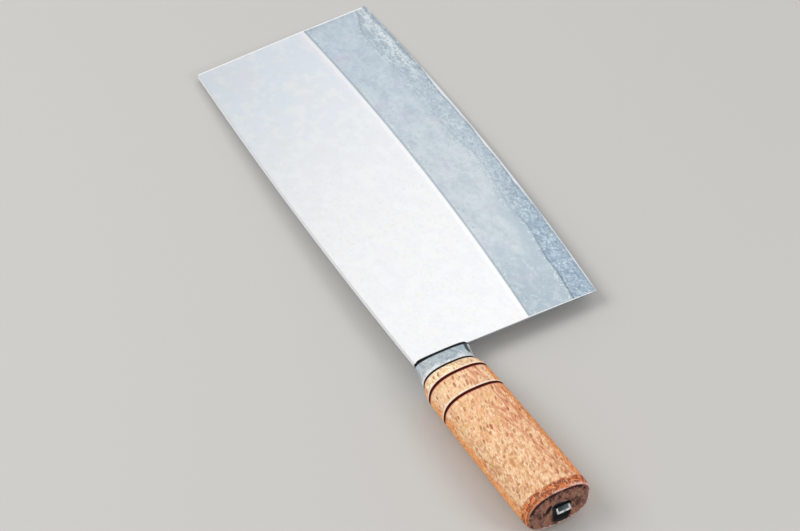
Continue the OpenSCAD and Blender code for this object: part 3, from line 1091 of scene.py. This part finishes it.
def pale_wood():
    """Close pale wood with short brown flecks, honey-brown towards its narrow sides, partly as painted shade,
    burnt in the grooves, and darker where the end grain shows."""
    f = Finish("handle wood")
    lean = (0, 0, -13)
    slow = f.cloud(340, 4, 0.62, 0.5, longer=(3, 1, 1), turn=lean)
    flame = f.cloud(980, 3, 0.65, 0.6, longer=(2.2, 1, 1), turn=lean, shift=(0.1, 0.02, 0.03))
    blush = f.cloud(560, 3, 0.62, longer=(2, 1, 1), turn=lean, shift=(0.3, 0.1, 0))
    broken = f.cloud(170, 2, 0.5, shift=(0.07, 0, 0))
    grit = f.cloud(640, 3, 0.6)
    grain = f.cloud(270, 4, 0.6, 0.5, longer=(1, 1, 1.9), turn=(-20, 0, 0))
    ring = f.fade(f.x, 85.8, 87.0)
    flecks = pores(f)
    colour = front_ring(f, wood_ground(f, lean, slow, flame, blush), ring)
    colour = f.paint(
        colour,
        # Paler between the grooves, browner near the butt, rosier towards the edge's side
        (f.times(f.within(f.x, 72, 73, 84, 85), 0.2), (1.0, 0.82, 0.58)),
        (f.fade(f.x, 50, 12, 0, 0.12), (0.62, 0.34, 0.17)),
        (f.times(f.fade(f.y, 5, -6, 0, 0.26), f.fade(blush, 0.42, 0.56, 0.5, 1)), (0.86, 0.40, 0.23)),
        (growth_lines(f, flame), (0.58, 0.20, 0.11)),
        # Honey-brown narrow sides, partly the wood's colour and partly painted shade
        narrow_sides(f, slow, flame),
        (f.times(ring, f.fade(f.y, 1, -8, 0, 0.45)), (0.98, 0.82, 0.52)),
        *flecks,
        *rounding_coats(f, flame, broken, grit),
        (f.fade(f.x, 0.12, 0.04), end_grain(f, grain, broken, grit)),
        smeared_pitch(f, grain, grit),
        dark_split(f),
        *burnt_groove(f, rear_groove / mm, flame),
        *burnt_groove(f, front_groove / mm, flame),
        (f.fade(f.x, wood_end / mm - 0.6, wood_end / mm - 0.35), (0.015, 0.006, 0.004)))
    sunk = f.most(f.most(flecks[0][0], flecks[1][0]), flecks[2][0])
    fibre = f.cloud(2400, 2, 0.5, longer=(20, 1, 1), turn=lean)
    return f.finish(colour, f.line(sunk, 0.15, f.fade(slow, 0.3, 0.7, 0.48, 0.6)),
                    Normal=f.relief(f.times(sunk, -1.0), 0.06, 0.6, f.relief(fibre, 0.03, 0.35)),
                    Specular_IOR_Level=0.2)


# The cleaver


def dress(piece, material, slot, *nodes):
    """Gives a piece its finish and hides the solids that it stands for. The slot is not used."""
    piece.data.materials.clear()
    piece.data.materials.append(material)
    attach(piece, "root")
    if nodes:
        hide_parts(*nodes)


core = blade_layer("core_blade", -half_core, half_core,
                   [(core_height, -half_core, half_core), (facet_height, -half_facet, half_facet),
                    (0, -half_edge, half_edge)])
right = blade_layer("right_blade", half_core, half_blade, [(core_height, half_core, half_core + hair)])
left = blade_layer("left_blade", -half_blade, -half_core, [(core_height, -half_core - hair, -half_core)])
for layer, outer in ((core, 0), (right, half_blade), (left, -half_blade)):
    trim_blade(layer, outer)
    if outer:
        soften_corners(layer, outer)
    smooth(layer, 0.8)

soft_steel = blade_steel("cladding steel")
pitch_finish = black_pitch()
dress(core, blade_steel("core steel"), "core_steel", "core_steel")
dress(right, soft_steel, "cladding", "right_cladding")
dress(left, soft_steel, "cladding", "left_cladding")
dress(make_handle(), pale_wood(), "handle_wood", "handle")
dress(make_ferrule(), collar_steel(), "ferrule_steel", "ferrule")
dress(make_ferrule_pitch(), pitch_finish, "pitch", "ferrule_filler")
dress(make_joint_pitch(), pitch_finish, "pitch")
dress(make_tang(), tang_finish(), "tang_steel", "tang")
dress(make_butt_pitch(), pitch_finish, "pitch", "butt_filler")

# Floor, turned so that the cleaver lies still on it: on the front of the grip and on the tip side
floor_place = (85.8 * mm, -2.54 * mm, -11.29 * mm)
floor_up = Vector((-0.03582, 0.02437, 0.99906))
bpy.ops.mesh.primitive_plane_add(size=8, location=floor_place,
                                 rotation=floor_up.to_track_quat("Z", "Y").to_euler())
floor = bpy.context.object
floor.name = "floor"
floor.data.materials.append(Finish("floor").finish((0.56, 0.55, 0.53), 0.9))

# Light


def softbox(name, place, aim, size, radiance, glare=True):
    """A square lamp that faces a point. Radiance is what a mirror shows of it, unless it gives no glare."""
    bpy.ops.object.light_add(type="AREA", location=place)
    lamp = bpy.context.object
    lamp.name = name
    lamp.rotation_euler = (Vector(aim) - Vector(place)).to_track_quat("-Z", "Y").to_euler()
    lamp.data.shape = "SQUARE"
    lamp.data.size = size
    lamp.data.energy = radiance * math.pi * size * size
    lamp.visible_glossy = glare


on_blade = (0.15, -0.02, 0)
softbox("blade softbox", place=(0.54, -0.50, 0.857), aim=on_blade, size=0.75, radiance=0.63)
softbox("key softbox", place=(0.525, 0.93, 1.11), aim=on_blade, size=0.8, radiance=5.2, glare=False)
softbox("butt softbox", place=(-0.83, -0.47, 0.66), aim=(0, 0, 0), size=0.35, radiance=7.5, glare=False)

world = bpy.data.worlds.new("studio")
bpy.context.scene.world = world
world.use_nodes = True
sky = world.node_tree.nodes["Background"]
sky.inputs["Color"].default_value = (1, 1, 1, 1)
sky.inputs["Strength"].default_value = 0.6

# Camera: from beside the butt and above, turned a little about its own line of sight
camera_place = (-0.8977, 0.6948, 1.3182)
camera_aim = (0.165, -0.0165, 0)
camera_roll = math.radians(3.197)
bpy.ops.object.camera_add(location=camera_place)
camera = bpy.context.object
camera.name = "camera"
sight = (Vector(camera_aim) - Vector(camera_place)).to_track_quat("-Z", "Y")
camera.rotation_euler = (sight @ Quaternion((0, 0, 1), camera_roll)).to_euler()
camera.data.sensor_width = 36
camera.data.lens = 172.709
camera.data.clip_start = 10 * mm
bpy.context.scene.camera = camera

bpy.context.scene.view_settings.view_transform = "Standard"
